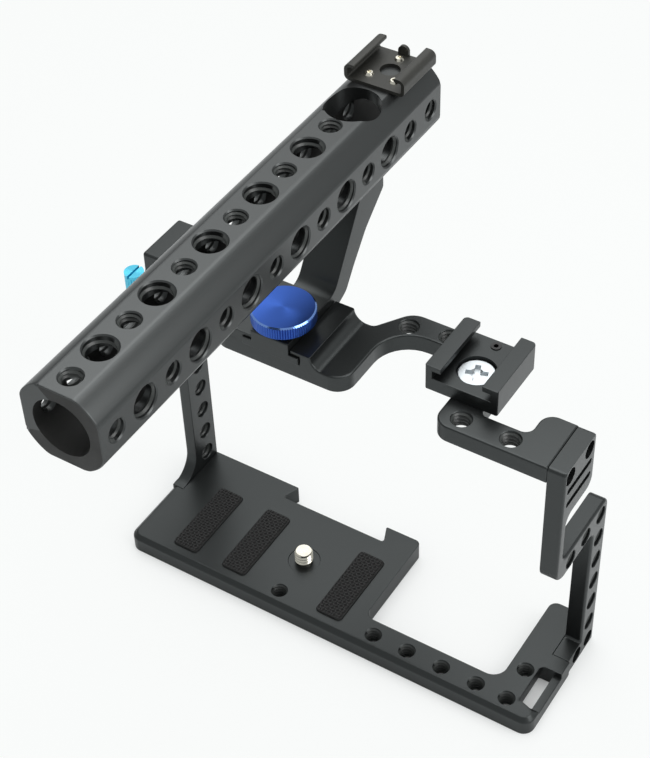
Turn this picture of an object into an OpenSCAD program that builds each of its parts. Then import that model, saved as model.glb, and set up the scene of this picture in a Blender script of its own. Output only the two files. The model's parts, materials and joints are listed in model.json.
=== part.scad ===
// Camera cage with a sliding top handle.
// A base plate, two side plates and a top plate frame the camera. The handle is a drilled tube on a
// slanted riser whose T-shaped foot slides in a channel of the top plate, held by a knurled knob.
// Lengths are in millimetres. X runs to the camera's grip side, Y to its lens side and Z up.
// Every place below is measured from the rear left lower corner of the base plate, and centred()
// moves the whole cage so that the middle of its footprint is the origin.

/* [Base plate] */
// Width of the base plate, from the left edge to the strap bar
base_w = 157; // [153:1:168]
// Depth of the base plate, rear to front
base_d = 48.5; // [46:0.5:54]
// Thickness of the base plate
base_t = 7; // [6.5:0.5:9]
// Width of the deep left part that carries the camera
wide_w = 90; // [86:1:94]
// Depth of the narrow rail behind the battery door
rail_d = 11; // [10:0.5:13]
// Width of the foot under the right side plate
foot_w = 16.5; // [16:0.5:19]
// Left end of the notch in the front edge
notch_x = 40; // [38:1:44]
// Width of the notch's mouth
notch_w = 36; // [26:1:36]
// Depth of the notch
notch_d = 6.5; // [5:0.5:7]
// How far the notch widens behind its mouth
notch_flare = 2.7; // [0:0.1:3]

/* [Tapped holes] */
// Radius of a quarter-inch tapped hole
tap_r = 3.2; // [3:0.05:3.4]
// Radius of the base plate's tapped holes
base_tap_r = 2.7; // [2.6:0.05:3.2]
// Spacing of the tapped holes along the rail
tap_pitch = 12.8; // [12:0.1:13]
// Number of evenly spaced tapped holes in the rail
rail_taps = 4; // [2:1:4]
// Width of the countersink around a tapped hole
tap_sink = 0.2; // [0.1:0.05:0.4]

/* [Rubber pads] */
// Width of a pad
pad_w = 9.6; // [8:0.2:11]
// Length of a pad
pad_l = 29.5; // [24:0.5:31]
// Thickness of a pad
pad_t = 1.6; // [1.2:0.1:2]
// Depth of the pocket that holds a pad
pad_pocket = 0.8; // [0.4:0.1:1]
// Rear end of the pads
pad_y = 4.6; // [4:0.2:6]

/* [Camera screw] */
// Place of the camera screw across the cage
screw_x = 59.5; // [57:0.5:62]
// Place of the camera screw from the rear edge
screw_y = 21; // [18:0.5:24]
// Radius of the quarter-inch thread
thread_r = 3.175; // [3.1:0.005:3.2]
// How far the thread stands above the base plate
thread_up = 5; // [4:0.5:6]
// Radius of the screw's slotted head
head_r = 6.8; // [5.5:0.1:7.5]
// Thickness of the slotted head
head_t = 2.6; // [2:0.1:3]
// Outer radius of the retaining ring
ring_r = 5.6; // [5:0.1:6]
// Thickness of the retaining ring
ring_t = 1; // [0.6:0.1:1.4]

/* [Frame] */
// Height of the top plate's upper face
cage_h = 109.6; // [104:1:124]
// Thickness of the top plate
top_t = 6; // [5:0.5:7]
// Rear edge of the top plate's grip side
rear_y = 12.2; // [11:0.5:14]
// Distance of the left side plate's inner face from the left edge of the base
left_t = 4.2; // [3.8:0.2:5.4]
// Width of the left upright
left_up_w = 12; // [10:0.5:14]
// Spacing of the holes in the left upright
left_pitch = 10.6; // [10:0.1:13]
// Height of the left plate's thick head above the top plate
left_head_up = 5; // [3:0.5:7]
// Distance of the head's inner face from the left edge of the base
left_head_t = 5.8; // [5.6:0.2:8]
// Thickness of the right side plate
right_t = 5.8; // [5.6:0.2:7]
// Distance of the right plate's outer face from the end of the base
right_inset = 0.5; // [0.3:0.1:1.5]
// Depth of the right plate's head
right_head_d = 20; // [19:1:22]
// Height of the right plate's head
right_head_h = 21; // [20:1:24]
// Depth of the neck behind the grip opening
neck_d = 3.6; // [3:0.2:6]
// Height of the cross arm's lower edge
arm_z = 60.8; // [54:1:66]
// Height of the cross arm
arm_h = 8.4; // [8.2:0.2:11]
// Width of the right upright
right_up_w = 9.5; // [9:0.5:12]
// Spacing of the holes in the right plate
right_pitch = 10.3; // [9.5:0.1:10.6]

/* [Top plate] */
// Distance of the handle's middle plane from the left edge
handle_x = 57.6; // [56:0.2:60]
// Depth of the channel block
block_d = 26; // [24:1:30]
// Height of the channel walls above the plate
wall_h = 4.2; // [4:0.2:6]
// Half the distance between the channel block's two ridges
ridge_half = 13.8; // [13.2:0.1:15]
// Radius of the hollow beside each ridge
flank_r = 4.2; // [3:0.2:5]
// Width of the top plate's arms
arm_w = 9.7; // [9.2:0.1:11]

/* [Handle] */
// Radius of the handle tube before its flats are cut
tube_r = 14.15; // [13.6:0.05:15]
// Distance from the tube's axis to each flat
flat_half = 12.7; // [12:0.1:13.2]
// Radius of the tube's bore
bore_r = 9.1; // [8:0.1:10]
// Height of the tube's axis above the top plate
tube_up = 47.65; // [44:0.5:58]
// Rear end of the tube
tube_y0 = -78.5; // [-84:0.5:-74]
// Front end of the tube
tube_y1 = 93; // [92:0.5:100]
// Spacing of the holes along the tube
tube_pitch = 12.2; // [12:0.1:12.4]
// Width of the countersink around a hole in the tube
tube_sink = 0.4; // [0.2:0.1:0.6]
// Distance of the first hole from the tube's rear end
tube_margin = 6.5; // [5:0.5:8]
// Radius of a three-eighths tapped hole
big_tap_r = 4.8; // [4.5:0.1:5.1]
// Radius of the access hole above the riser's screws
access_r = 8.7; // [8:0.1:9]
// Width of the riser
riser_w = 13.4; // [12:0.2:16]
// Width of the foot's flange in the channel
flange_w = 20; // [19:0.5:21]
// Thickness of the foot's flange
flange_t = 2.7; // [2.4:0.1:3]
// Height of the foot's top above the channel walls
foot_up = 2.7; // [2:0.1:4]
// Clearance around the foot in its channel
slide_gap = 0.15; // [0.1:0.01:0.25]

/* [Knob] */
// Radius of the clamping knob
knob_r = 10.1; // [8.5:0.1:10.2]
// Height of the clamping knob
knob_h = 4.7; // [4:0.1:7]
// Number of grooves around the knob
knob_grooves = 80; // [40:1:84]
// Distance of the knob's axis from the foot's rear end
knob_y = 8.5; // [8:0.5:9.5]
// Radius of the knob's threaded stud
stud_r = 2.5; // [2:0.1:3]
// Thickness of the washer under the knob
washer_t = 1; // [0.6:0.1:1.5]

/* [Cold shoes] */
// Width of the shoe block on the cage
block_shoe_w = 24; // [23.5:0.5:26]
// Depth of the shoe block
block_shoe_d = 24.3; // [23.5:0.1:26]
// Height of the shoe block
block_shoe_h = 9.6; // [9:0.2:11]
// Height of the shoe block's floor above the top plate
block_floor = 4.8; // [4:0.2:5]
// Width of the slot that takes an accessory's foot
slot_w = 19.2; // [18.6:0.1:19.4]
// Height of that slot
slot_h = 2.8; // [2.2:0.1:3]
// Width of the mouth between the lips
mouth_w = 13.5; // [12.5:0.1:14]
// Distance of the sheet shoe's middle from the tube's, towards the grip side
sheet_shift = 1.3; // [0:0.1:1.5]
// Outer width of the sheet shoe on the handle
sheet_w = 20.8; // [20.6:0.1:22]
// Length of the sheet shoe
sheet_l = 19; // [18:0.5:20]
// Height of the sheet shoe
sheet_h = 5.6; // [5:0.1:7]
// Thickness of its sheet
sheet_t = 1.1; // [0.9:0.1:1.4]

/* [Cable lock] */
// How far the cable lock stands out from the left plate
lock_reach = 12; // [11:0.5:16]
// Depth of the cable lock's body
lock_d = 19.5; // [18:0.5:21]
// Height of the cable lock's body
lock_h = 22; // [20:1:26]
// Thickness of the lock's two shelves
shelf_t = 4; // [3.5:0.5:5]
// Radius of the thumbscrew's grip
thumb_r = 3.3; // [3:0.1:3.6]
// Height of the thumbscrew's grip
thumb_h = 9; // [7:0.5:10]

/* [Screws] */
// Head radius of the side plates' screws
m3_head_r = 2.8; // [2.6:0.1:3]
// Shank radius of the side plates' screws
m3_r = 1.5; // [1.4:0.05:1.6]
// Depth of the side plates' screw heads
m3_head_t = 2.6; // [2:0.1:3]
// Thickness of the metal left under those heads
seat_t = 0.9; // [0.7:0.1:1]
// Clearance between a screw and its hole
screw_gap = 0.1; // [0.05:0.01:0.15]

/* [Hidden] */

$fn = 48;
eps = 0.01;      // overshoot of a cut beyond a face
sunk = 0.5;      // overshoot of a cut through a curved or sloping face

black = [0.16, 0.17, 0.17];
dark = [0.22, 0.23, 0.23];
rubber = [0.1, 0.1, 0.1];
steel = [0.75, 0.76, 0.78];
black_steel = [0.12, 0.12, 0.13];
blue = [0.2, 0.35, 0.75];
cyan = [0.35, 0.8, 0.9];

// Main levels and faces
plate_z = cage_h - top_t;             // underside of the top plate
right_x1 = base_w - right_inset;      // outer face of the right plate
right_x0 = right_x1 - right_t;        // its inner face, where the top plate ends
foot_x = base_w - foot_w;             // left edge of the right foot
left_x0 = -0.4;                       // outer face of the left plate
left_y0 = base_d - left_up_w;         // rear edge of the left upright
left_foot_y = left_y0 - 9.5;          // rear end of the left plate's foot
left_tap_y = left_y0 + left_up_w / 2 + 0.4;  // middle of the holes in the left upright
right_foot_y = base_d - 20;           // rear end of the right plate's foot
right_y1 = base_d - 1.5;              // front edge of the right upright
right_y0 = right_y1 - right_up_w;     // its rear edge
pad_x = [20.8, 40.8, 79.2] * wide_w / 90;

// Channel, riser and tube
block_y = rear_y + 0.8;               // rear face of the channel block
block_y1 = block_y + block_d;         // its front face
wall_z = cage_h + wall_h;             // top of the channel walls
lip_t = 1.4;                          // thickness of the channel's lips
lip_z = wall_z - lip_t;               // underside of the lips
foot_z = lip_z - slide_gap - flange_t;  // underside of the foot
channel_z = foot_z - slide_gap;       // floor of the channel
foot_top = wall_z + foot_up;          // upper face of the foot
foot_y = block_y - 0.7;               // rear end of the foot
tube_z = cage_h + tube_up;            // axis of the tube
riser_top = tube_z - flat_half;       // underside of the tube's lower flat
tube_top = tube_z + flat_half;        // upper flat of the tube
tube_holes = floor((tube_y1 - tube_y0 - 2 * tube_margin) / tube_pitch + 0.05);
access_hole = 11;                     // which hole is the access hole
riser_y = tube_hole_y(access_hole);   // middle of the riser's top
shoe_y = tube_y1 - 1.7 - sheet_l;     // rear edge of the sheet shoe

// Cage shoe, and the link of the top plate under it
shoe_inset = 33.8;                    // distance of the shoe block's middle from the right plate
cage_shoe_x = right_x0 - shoe_inset;
cage_shoe_y = rear_y + 11;            // rear face of the shoe block
front_reach = 27.2;                   // how far the curved front arm reaches past that face
shoe_floor = cage_h + block_floor;
link_x0 = cage_shoe_x - 3.6;          // left side of the link between the two arms
link_x1 = cage_shoe_x + 7.5;          // its right side

// Left head and cable lock
head_y0 = 27;                         // rear edge of the left plate's head
head_y1 = 47;                         // its front edge
left_top = cage_h + left_head_up;     // top of the left plate
lock_top = cage_h - 20;               // top of the cable lock's body
lock_y = 20.5;                        // rear face of the cable lock's body
thumb_x = -6.3;                       // axis of the thumbscrew
thumb_y = 28.6;
jaw_t = 3;                            // thickness of the sliding jaw
jaw_drop = 0.4;                       // rest gap between the upper shelf and the jaw

neck_r = thread_r - 0.5;              // the camera screw's neck

centre_x = (base_w - lock_reach) / 2;
centre_y = (tube_y0 + tube_y1) / 2;

// ---- functions ----

// Place of hole i along the tube
function tube_hole_y(i) = tube_y0 + tube_margin + i * tube_pitch;

function unit(v) = v / norm(v);

// Points of the arc of radius r that rounds corner b between its neighbours a and c
function corner_points(a, b, c, r) =
    r <= 0 ? [b] :
    let (u = unit(a - b), w = unit(c - b), half = acos(u * w) / 2,
         middle = b + unit(u + w) * r / sin(half),
         start = b + u * r / tan(half) - middle,
         turn = (cross(u, w) > 0 ? -1 : 1) * (180 - 2 * half),
         steps = max(2, ceil(abs(turn) / 11)))
    [for (i = [0:steps]) let (t = turn * i / steps)
        middle + [start.x * cos(t) - start.y * sin(t), start.x * sin(t) + start.y * cos(t)]];

// Outline through corners given as [x, y, radius]
function rounded(corners) =
    let (n = len(corners), at = function (i) let (c = corners[(i + n) % n]) [c.x, c.y])
    [for (i = [0:n - 1]) each corner_points(at(i - 1), at(i), at(i + 1), corners[i].z)];

// ---- shared shapes ----

module centred() {
    translate([-centre_x, -centre_y, 0]) children();
}

// Flat shape in X and Y, from z0 up to z1
module slab(corners, z0, z1) {
    translate([0, 0, z0]) linear_extrude(z1 - z0) polygon(rounded(corners));
}

// Flat shape in Y and Z, from x0 to x1
module profile(corners, x0, x1) {
    translate([x0, 0, 0]) rotate([90, 0, 90]) linear_extrude(x1 - x0) polygon(rounded(corners));
}

module box(low, high) {
    translate(low) cube(high - low);
}

// Turns what is drawn along Z so that it runs along +X, or along -X
module along_x(way = 1) {
    rotate([0, 90 * way, 0]) children();
}

// Through tapped hole from z0 up to z1, countersunk at both ends
module tap(x, y, z0, z1, r = tap_r, sink = tap_sink) {
    translate([x, y, z0 - eps]) cylinder(r = r, h = z1 - z0 + 2 * eps);
    translate([x, y, z1 - sink]) cylinder(r1 = r, r2 = r + sink + eps, h = sink + eps);
    translate([x, y, z0 - eps]) cylinder(r1 = r + sink + eps, r2 = r, h = sink + eps);
}

// The same hole along X, from x0 to x1
module side_tap(y, z, x0, x1, r = tap_r, sink = tap_sink) {
    translate([0, y, z]) along_x() tap(0, 0, x0, x1, r, sink);
}

// Room for a cap screw along X whose head lies deep below the face at x, and its point way * length inwards
module side_screw_room(x, y, z, length, way, deep) {
    translate([x, y, z]) along_x(way) {
        translate([0, 0, -sunk])
            cylinder(r = m3_head_r + screw_gap, h = sunk + deep + m3_head_t + screw_gap);
        cylinder(r = m3_r + screw_gap, h = length + screw_gap);
    }
}

// Hexagon socket cap screw: its head from z = 0 to head_t, its shank beyond
module cap_screw(head_r, head_t, shank_r, length) {
    difference() {
        union() {
            cylinder(r = head_r, h = head_t);
            cylinder(r = shank_r, h = length);
        }
        translate([0, 0, -eps]) cylinder(r = head_r * 0.48, h = head_t * 0.6, $fn = 6);
    }
}

// ---- base ----

// Left rebate, notch, rail and foot in one outline
base_corners = let (notch_x1 = notch_x + notch_w, inner_y = base_d - notch_d) [
    [0, 0, 4],
    [base_w, 0, 4],
    [base_w, right_foot_y, 0.2],
    [right_x0, right_foot_y, 0],
    [right_x0, base_d, 0],
    [foot_x, base_d, 3],
    [foot_x, rail_d, 5],
    [wide_w, rail_d, 3.5],
    [wide_w, base_d, 2],
    [notch_x1, base_d, 0.5],
    [notch_x1 + notch_flare, inner_y, 0.8],
    [notch_x - notch_flare, inner_y, 0.8],
    [notch_x, base_d, 0.5],
    [left_t, base_d, 0],
    [left_t, left_foot_y, 0],
    [0, left_foot_y, 0]];

first_tap_x = wide_w + 6.5;
foot_tap_x = foot_x + 5.5;
strap_x0 = base_w - 7.3;              // left side of the strap slot
strap_x1 = base_w - 2.8;              // its right side, where the strap bar begins
strap_y0 = 6.8;
strap_y1 = 22.6;
bar_z = 4.8;                          // top of the strap bar

module pad_shapes(grow, z0, z1) {
    for (x = pad_x) {
        half = pad_w / 2 + grow;
        slab([[x - half, pad_y - grow, 1.5], [x + half, pad_y - grow, 1.5],
              [x + half, pad_y + pad_l + grow, 1.5], [x - half, pad_y + pad_l + grow, 1.5]], z0, z1);
    }
}

// Slot for a strap, undercut on its inner side, and the step down to the bar the strap goes round
module strap_slot() {
    slab([[strap_x0, strap_y0, 1.4], [strap_x1, strap_y0, 0], [strap_x1, strap_y1, 0],
          [strap_x0, strap_y1, 1.8]], -eps, base_t + eps);
    slab([[strap_x0 - 1.6, strap_y0, 1.4], [strap_x1, strap_y0, 0], [strap_x1, strap_y1, 0],
          [strap_x0 - 1.6, strap_y1, 1.8]], -eps, 2.4);
    box([strap_x1 - eps, strap_y0, bar_z], [base_w + eps, strap_y1, base_t + eps]);
}

module base_plate() {
    color(black) centred() difference() {
        slab(base_corners, 0, base_t);
        pad_shapes(0.1, base_t - pad_pocket, base_t + eps);
        for (i = [0:rail_taps - 1]) {
            tap(first_tap_x + i * tap_pitch, rail_d / 2, 0, base_t, base_tap_r);
        }
        for (p = [[screw_x, rail_d / 2], [foot_tap_x, rail_d / 2], [foot_tap_x, rail_d + 7.5]]) {
            tap(p.x, p.y, 0, base_t, base_tap_r);
        }
        strap_slot();
        screw_seat();
        base_screw_rooms();
    }
}

// Stepped bore for the captive camera screw and its ring
module screw_seat() {
    translate([screw_x, screw_y, 0]) {
        translate([0, 0, -eps]) cylinder(r = thread_r + 0.3, h = base_t + 2 * eps);
        translate([0, 0, -eps]) cylinder(r = head_r + 0.3, h = head_t + 0.4 + eps);
        translate([0, 0, base_t - ring_t - 0.2]) cylinder(r = ring_r, h = ring_t + 0.2 + eps);
    }
}

module base_pads() {
    color(rubber) centred() pad_shapes(0, base_t - pad_pocket, base_t - pad_pocket + pad_t);
}

module camera_screw() {
    color(steel) centred() translate([screw_x, screw_y, 0]) difference() {
        union() {
            translate([0, 0, 0.2]) cylinder(r = head_r, h = head_t);
            cylinder_up(neck_r, head_t, base_t + 0.1);
            cylinder_up(thread_r, base_t + 0.1, base_t + thread_up - 0.5);
            translate([0, 0, base_t + thread_up - 0.5]) cylinder(r1 = thread_r, r2 = thread_r - 0.5, h = 0.5);
        }
        translate([-head_r - 1, -0.8, -eps]) cube([2 * head_r + 2, 1.6, 1.4]);
    }
}

module cylinder_up(r, z0, z1) {
    translate([0, 0, z0]) cylinder(r = r, h = z1 - z0);
}

// Split ring round the screw's neck, which keeps the screw in the base plate
module screw_retainer() {
    split = 1.5;
    color(black_steel) centred() translate([screw_x, screw_y, base_t - ring_t - 0.2]) difference() {
        cylinder(r = ring_r - 0.15, h = ring_t);
        translate([0, 0, -eps]) cylinder(r = neck_r + 0.08, h = ring_t + 2 * eps);
        rotate(124) translate([0, -split / 2, -eps]) cube([ring_r + 1, split, ring_t + 2 * eps]);
    }
}

// ---- side plates ----

left_corners = [
    [left_foot_y, 0, 0], [base_d, 0, 0], [base_d, lock_top - lock_h, 3],
    [head_y1, lock_top - lock_h + 3, 3], [head_y1, left_top, 1], [head_y0, left_top, 1],
    [head_y0, lock_top - lock_h - 6, 3], [left_y0, lock_top - lock_h - 12, 4],
    [left_y0, base_t, 9], [left_foot_y, base_t, 0]];

right_corners = let (top = cage_h, y0 = rear_y, y1 = rear_y + right_head_d, neck_y = rear_y + neck_d,
                     head_z = cage_h - right_head_h, arm_z1 = arm_z + arm_h) [
    [y0, top, 1.2], [y1, top, 1.2], [y1, head_z, 4], [neck_y, head_z, 3.5],
    [neck_y, arm_z1, 3], [right_y1, arm_z1, 3], [right_y1, 0, 0], [right_foot_y, 0, 0],
    [right_foot_y, base_t, 0], [right_y0, base_t, 1], [right_y0, arm_z, 2.5], [y0, arm_z, 6]];

side_tap_r = tap_r - 0.2;             // the side plates' holes are a little smaller
base_screw_depth = 9;
top_screw_depth = 13;
left_deep = left_t - left_x0 - seat_t - m3_head_t;  // depth of the left plate's screw heads
right_deep = right_t - seat_t - m3_head_t;          // and of the right plate's
left_base_y = [left_foot_y + 4.5, base_d - 4.5];
right_base_y = [right_foot_y + 6.1, base_d - 5.7];
side_z = base_t / 2 + 0.2;
left_top_y = [head_y0 + 3.2, head_y0 + 9.2];
right_top_y = [rear_y + 3.4, rear_y + 15.6];
top_screw_z = plate_z + top_t / 2 - 0.2;

module base_screw_rooms() {
    for (y = left_base_y) {
        side_screw_room(left_x0, y, side_z, base_screw_depth, 1, left_deep);
    }
    for (y = right_base_y) {
        side_screw_room(right_x1, y, side_z, base_screw_depth, -1, right_deep);
    }
}

module top_screw_rooms() {
    for (y = left_top_y) {
        side_screw_room(left_x0, y, top_screw_z, top_screw_depth, 1, left_deep);
    }
    for (y = right_top_y) {
        side_screw_room(right_x1, y, top_screw_z, top_screw_depth, -1, right_deep);
    }
}

left_taps = floor((lock_top - lock_h - 18) / left_pitch);

module left_side_plate() {
    color(black) centred() difference() {
        union() {
            profile(left_corners, left_x0, left_t);
            profile([[head_y0, plate_z - 6, 1], [head_y1, plate_z - 6, 1],
                     [head_y1, left_top, 1], [head_y0, left_top, 1]], left_x0, left_head_t);
        }
        for (i = [0:left_taps]) {
            side_tap(left_tap_y, base_t + 5.2 + i * left_pitch, left_x0, left_t, side_tap_r);
        }
        base_screw_rooms();
        top_screw_rooms();
        lock_screw_rooms();
    }
}

module right_side_plate() {
    up_y = right_y0 + right_up_w / 2;
    arm_hole_z = arm_z + arm_h / 2 - 0.4;
    color(black) centred() difference() {
        profile(right_corners, right_x0, right_x1);
        for (i = [0:5]) {
            side_tap(up_y, arm_hole_z - i * right_pitch, right_x0, right_x1, side_tap_r);
        }
        for (i = [1:2]) {
            side_tap(up_y - i * right_pitch, arm_hole_z, right_x0, right_x1, side_tap_r);
        }
        for (down = [9, 14.4]) {
            profile([[rear_y + 2, cage_h - down - 1.1, 1], [rear_y + 17.6, cage_h - down - 1.1, 1],
                     [rear_y + 17.6, cage_h - down + 1.1, 1], [rear_y + 2, cage_h - down + 1.1, 1]],
                    right_x0 - eps, right_x1 + eps);
        }
        base_screw_rooms();
        top_screw_rooms();
    }
}

// Cap screws along X, their heads deep below the plate's outer face at x
module side_screws(x, ys, z, length, way, deep) {
    for (y = ys) {
        translate([x, y, z]) along_x(way) translate([0, 0, deep])
            cap_screw(m3_head_r, m3_head_t, m3_r, length - deep);
    }
}

module left_base_screws() {
    color(black_steel) centred()
        side_screws(left_x0, left_base_y, side_z, base_screw_depth, 1, left_deep);
}

module right_base_screws() {
    color(black_steel) centred()
        side_screws(right_x1, right_base_y, side_z, base_screw_depth, -1, right_deep);
}

module left_top_screws() {
    color(black_steel) centred()
        side_screws(left_x0, left_top_y, top_screw_z, top_screw_depth, 1, left_deep);
}

module right_top_screws() {
    color(black_steel) centred()
        side_screws(right_x1, right_top_y, top_screw_z, top_screw_depth, -1, right_deep);
}

// ---- top plate ----

top_corners = let (bx0 = handle_x - ridge_half - flank_r - 4, bx1 = handle_x + ridge_half + flank_r + 7.8,
                   arm_y1 = rear_y + arm_w, far_y = cage_shoe_y + front_reach, head_y = rear_y + right_head_d) [
    [left_head_t, head_y0, 0], [bx0, head_y0, 4], [bx0, block_y, 5], [bx1, block_y, 6],
    [bx1, far_y - 8.3, 12], [link_x0, far_y - 8.3, 3], [link_x0, rear_y, 5], [right_x0, rear_y, 0],
    [right_x0, head_y, 0], [right_x0 - 10.5, head_y, 4.5], [right_x0 - 10.5, arm_y1, 3],
    [link_x1, arm_y1, 2], [link_x1, far_y, 4], [bx1 + 2.2, far_y, 7], [bx1 - 5.5, block_y1, 2.5],
    [left_head_t, block_y1, 0]];

// Holes of the curved front arm, the second a step beyond the first
far_arm_tap = [handle_x + ridge_half + 16, cage_shoe_y + front_reach - 6.2];
far_arm_step = [13, 2];

// The block's section across the channel, with a hollow flank on either side
module block_section() {
    half = ridge_half + flank_r;
    difference() {
        translate([-half, 0]) square([2 * half, wall_h]);
        for (side = [-1, 1]) {
            translate([side * half, flank_r]) circle(r = flank_r);
            translate([side * half - flank_r, flank_r]) square([2 * flank_r, wall_h]);
        }
    }
}

module channel_block() {
    translate([handle_x, block_y1, cage_h - eps]) rotate([90, 0, 0])
        linear_extrude(block_d) block_section();
}

module channel() {
    flange_half = flange_w / 2 + slide_gap;
    neck_half = riser_w / 2 + slide_gap;
    y0 = block_y - sunk;
    y1 = block_y1 + sunk;
    box([handle_x - flange_half, y0, channel_z], [handle_x + flange_half, y1, lip_z]);
    box([handle_x - neck_half, y0, channel_z], [handle_x + neck_half, y1, wall_z + sunk]);
}

module top_plate() {
    arm_y = rear_y + arm_w / 2 + 0.3;
    color(black) centred() difference() {
        union() {
            slab(top_corners, plate_z, cage_h);
            channel_block();
        }
        channel();
        for (x = [link_x1 - 3.9, link_x1 + 12.1]) {
            tap(x, arm_y, plate_z, cage_h);
        }
        for (p = [far_arm_tap, far_arm_tap + far_arm_step]) {
            tap(p.x, p.y, plate_z, cage_h);
        }
        for (x = [left_head_t + 16.5, left_head_t + 27]) {
            tap(x, head_y0 + 6, plate_z, cage_h);
        }
        translate([cage_shoe_x, shoe_screw_y, plate_z - eps])
            cylinder(r = shoe_screw_r + screw_gap, h = top_t + 1);
        top_screw_rooms();
    }
}

// ---- cage shoe ----

shoe_screw_r = 3;
shoe_screw_head_r = 5.9;
shoe_screw_y = cage_shoe_y + 9.7;
shoe_seat_z = shoe_floor - 3;         // seat of the shoe screw's head in the block
set_screw_r = 1.6;
set_screw_y = cage_shoe_y + block_shoe_d - 2.7;

module cage_shoe() {
    x0 = cage_shoe_x - block_shoe_w / 2;
    x1 = cage_shoe_x + block_shoe_w / 2;
    y1 = cage_shoe_y + block_shoe_d;
    slot_z = shoe_floor + slot_h;
    color(black) centred() difference() {
        slab([[x0, cage_shoe_y, 0.6], [x1, cage_shoe_y, 0.6], [x1, y1, 1.5], [x0, y1, 1.5]],
             cage_h, cage_h + block_shoe_h);
        box([cage_shoe_x - slot_w / 2, cage_shoe_y - 1, shoe_floor],
            [cage_shoe_x + slot_w / 2, y1 + 1, slot_z]);
        box([cage_shoe_x - mouth_w / 2, cage_shoe_y - 1, shoe_floor],
            [cage_shoe_x + mouth_w / 2, y1 + 1, cage_h + block_shoe_h + 1]);
        translate([cage_shoe_x, shoe_screw_y, 0]) {
            translate([0, 0, cage_h - eps]) cylinder(r = shoe_screw_r + screw_gap, h = block_floor);
            translate([0, 0, shoe_seat_z]) cylinder(r = shoe_screw_head_r + 0.3, h = block_floor);
        }
        translate([cage_shoe_x, set_screw_y, cage_h - eps])
            cylinder(r = set_screw_r + 0.05, h = block_floor + 1);
    }
}

// Cross-head screw that holds the shoe block
module shoe_screw() {
    head_z = shoe_seat_z;
    color(steel) centred() translate([cage_shoe_x, shoe_screw_y, 0]) difference() {
        union() {
            cylinder_up(shoe_screw_r, plate_z + 0.5, head_z + 0.5);
            cylinder_up(shoe_screw_head_r, head_z, head_z + 1.4);
            translate([0, 0, head_z + 1.4])
                cylinder(r1 = shoe_screw_head_r, r2 = shoe_screw_head_r - 0.5, h = 0.6);
        }
        for (turn = [20, 110]) {
            rotate(turn) translate([-3.4, -0.9, head_z + 0.7]) cube([6.8, 1.8, 3]);
        }
        translate([0, 0, head_z + 0.7]) cylinder(r1 = 1.1, r2 = 2.1, h = 1.4);
    }
}

module shoe_set_screw() {
    color(dark) centred() translate([cage_shoe_x, set_screw_y, 0]) difference() {
        cylinder_up(set_screw_r, cage_h, shoe_floor + 0.3);
        translate([0, 0, shoe_floor - 1.2]) cylinder(r = 0.85, h = 2, $fn = 6);
    }
}

// ---- handle ----

riser_corners = let (back = riser_y - 6.2, front = riser_y + 6.2) [
    [foot_y, foot_z, 0], [foot_y + 25.7, foot_z, 3], [foot_y + 33.2, foot_z + 3.3, 5],
    [foot_y + 37.7, foot_z + 9.8, 8], [front - 10.6, riser_top - 15.4, 14], [front, riser_top - 6.4, 1.5],
    [front, riser_top, 0], [back, riser_top, 0], [foot_y + 26.3, foot_top, 6], [foot_y, foot_top, 0.6]];

riser_screw_y = [riser_y - 3.2, riser_y + 3.2];
riser_screw_r = 1.9;
riser_head_r = 2.8;
riser_head_t = 2.4;
bore_floor = tube_z - bore_r - 0.5;   // seat of the heads, sunk into the bore's bottom

module handle_riser() {
    axis_y = foot_y + knob_y;
    color(black) centred() difference() {
        union() {
            profile(riser_corners, handle_x - riser_w / 2, handle_x + riser_w / 2);
            box([handle_x - flange_w / 2, foot_y, foot_z],
                [handle_x + flange_w / 2, foot_y + 24, foot_z + flange_t]);
        }
        translate([handle_x, axis_y, foot_z - eps])
            cylinder(r = stud_r + 0.05, h = foot_top - foot_z + 2 * eps);
        for (y = riser_screw_y) {
            translate([handle_x, y, riser_top - 7]) cylinder(r = riser_screw_r + 0.02, h = 8);
        }
    }
}

// Holes 1, 3, 5 ... are large. The side holes go through both walls, the top holes through the upper one
function tube_tap_r(i) = (i % 2 == 1 && i < tube_holes - 1) ? big_tap_r : tap_r;

module handle_tube() {
    middle = (tube_y0 + tube_y1) / 2;
    half = flat_half;
    color(dark) centred() difference() {
        intersection() {
            translate([handle_x, tube_y1, tube_z]) rotate([90, 0, 0])
                cylinder(r = tube_r, h = tube_y1 - tube_y0, $fn = 96);
            box([handle_x - half, tube_y0, tube_z - half], [handle_x + half, tube_y1, tube_z + half]);
        }
        translate([handle_x, tube_y1 + 1, tube_z]) rotate([90, 0, 0])
            cylinder(r = bore_r, h = tube_y1 - tube_y0 + 2);
        for (i = [0:tube_holes]) {
            side_tap(tube_hole_y(i), tube_z, handle_x - half, handle_x + half, tube_tap_r(i), tube_sink);
        }
        for (i = [0:access_hole - 1]) {
            tap(handle_x, tube_hole_y(i), tube_z, tube_top, tube_tap_r(i), tube_sink);
        }
        translate([handle_x, riser_y, tube_z]) cylinder(r = access_r, h = half + 1);
        for (y = riser_screw_y) {
            translate([handle_x, y, riser_top - 1]) cylinder(r = riser_screw_r + screw_gap, h = half);
            translate([handle_x, y, bore_floor]) cylinder(r = riser_head_r + screw_gap, h = half);
        }
        handle_shoe_holes();
    }
}

// Screws that stand in the bore and pull the riser against the tube
module riser_screws() {
    color(black_steel) centred() for (y = riser_screw_y) {
        translate([handle_x, y, bore_floor + riser_head_t]) rotate([180, 0, 0])
            cap_screw(riser_head_r, riser_head_t, riser_screw_r, bore_floor + riser_head_t - riser_top + 6);
    }
}

sheet_x = handle_x + sheet_shift;     // middle of the sheet shoe
shoe_centre_y = shoe_y + sheet_l / 2;
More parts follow.
